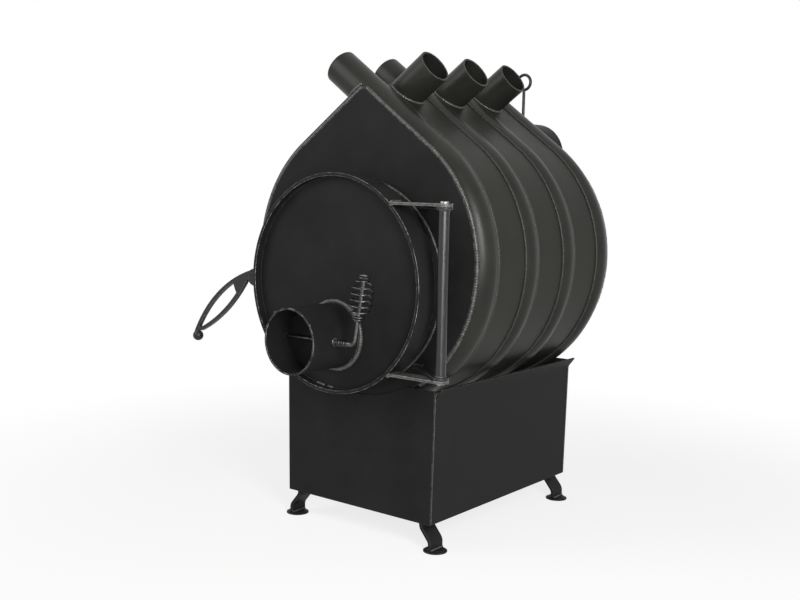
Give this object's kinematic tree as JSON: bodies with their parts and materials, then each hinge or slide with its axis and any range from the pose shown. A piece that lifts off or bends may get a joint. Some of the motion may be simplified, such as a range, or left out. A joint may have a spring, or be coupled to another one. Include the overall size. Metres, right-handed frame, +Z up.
{
  "type": "convection wood stove",
  "caption": "Round wood stove wrapped in bent air tubes that cross at the top, with a round hinged door, air pipe with butterfly damper, rear flue and box stand on bent legs.",
  "frame": {"origin": "on the hearth under the feet, in the middle of the tube row and of the stand", "axes": "+Z up, -Y out of the door, +X to the hinge side"},
  "size_m": [0.5723, 0.6858, 0.7798],
  "materials": {
    "black_paint": "satin heat-resistant paint",
    "grey_paint": "satin heat-resistant paint",
    "handle_steel": "satin paint, worn at the edges",
    "spring_steel": "dark drawn wire",
    "pin_steel": "plain turned steel",
    "rope": "braided glass fibre rope",
    "shelf_steel": "raw mill-scale steel"
  },
  "bodies": {
    "stove": {"front_plate": "black_paint", "rear_plate": "black_paint", "tube_right_1": "grey_paint", "tube_right_2": "grey_paint", "tube_right_3": "grey_paint", "tube_right_4": "grey_paint", "tube_left_1": "grey_paint", "tube_left_2": "grey_paint", "tube_left_3": "grey_paint", "web_right_1": "grey_paint", "web_right_2": "grey_paint", "web_right_3": "grey_paint", "web_left_1": "grey_paint", "web_left_2": "grey_paint", "web_left_front": "grey_paint", "web_left_rear": "grey_paint", "door_collar": "black_paint", "hinge_lug_top": "black_paint", "hinge_lug_bottom": "black_paint", "hinge_barrel": "black_paint", "latch_keeper": "black_paint", "flue_pipe": "black_paint", "stand_front": "black_paint", "stand_rear": "black_paint", "stand_left": "black_paint", "stand_right": "black_paint", "baffle_shelf": "shelf_steel", "air_nozzle_right": "shelf_steel", "air_nozzle_left": "shelf_steel", "leg_front_left": "black_paint", "leg_front_right": "black_paint", "leg_rear_left": "black_paint", "leg_rear_right": "black_paint", "foot_front_left": "black_paint", "foot_front_right": "black_paint", "foot_rear_left": "black_paint", "foot_rear_right": "black_paint"},
    "door": {"door_ring": "black_paint", "door_disc": "black_paint", "door_gasket": "rope", "door_shield": "shelf_steel", "air_pipe": "black_paint", "strap_top": "black_paint", "strap_bottom": "black_paint", "hinge_pin": "pin_steel", "latch_bearing": "black_paint"},
    "latch": {"latch_handle": "handle_steel", "latch_shaft": "handle_steel"},
    "air_damper": {"air_damper_flap": "handle_steel", "air_damper_lever": "handle_steel", "air_damper_grip": "spring_steel", "damper_washer": "pin_steel", "damper_spring": "spring_steel"},
    "flue_damper": {"flue_damper_plate": "handle_steel", "flue_damper_rod": "handle_steel"}
  },
  "joints": [
    {"name": "door_hinge", "type": "hinge", "parent": "stove", "child": "door", "pos_m": [0.204, -0.2607, 0.414], "axis": [0, 0, 1], "range_deg": [0, 135]},
    {"name": "latch_turn", "type": "hinge", "parent": "door", "child": "latch", "pos_m": [-0.1861, -0.2539, 0.41], "axis": [0, 1, 0], "range_deg": [-45, 50]},
    {"name": "air_damper_turn", "type": "hinge", "parent": "door", "child": "air_damper", "pos_m": [0, -0.3192, 0.3335], "axis": [1, 0, 0], "range_deg": [0, 90]},
    {"name": "flue_damper_turn", "type": "hinge", "parent": "stove", "child": "flue_damper", "pos_m": [0, 0.2689, 0.626], "axis": [0, 0, 1], "range_deg": [0, 90]}
  ]
}
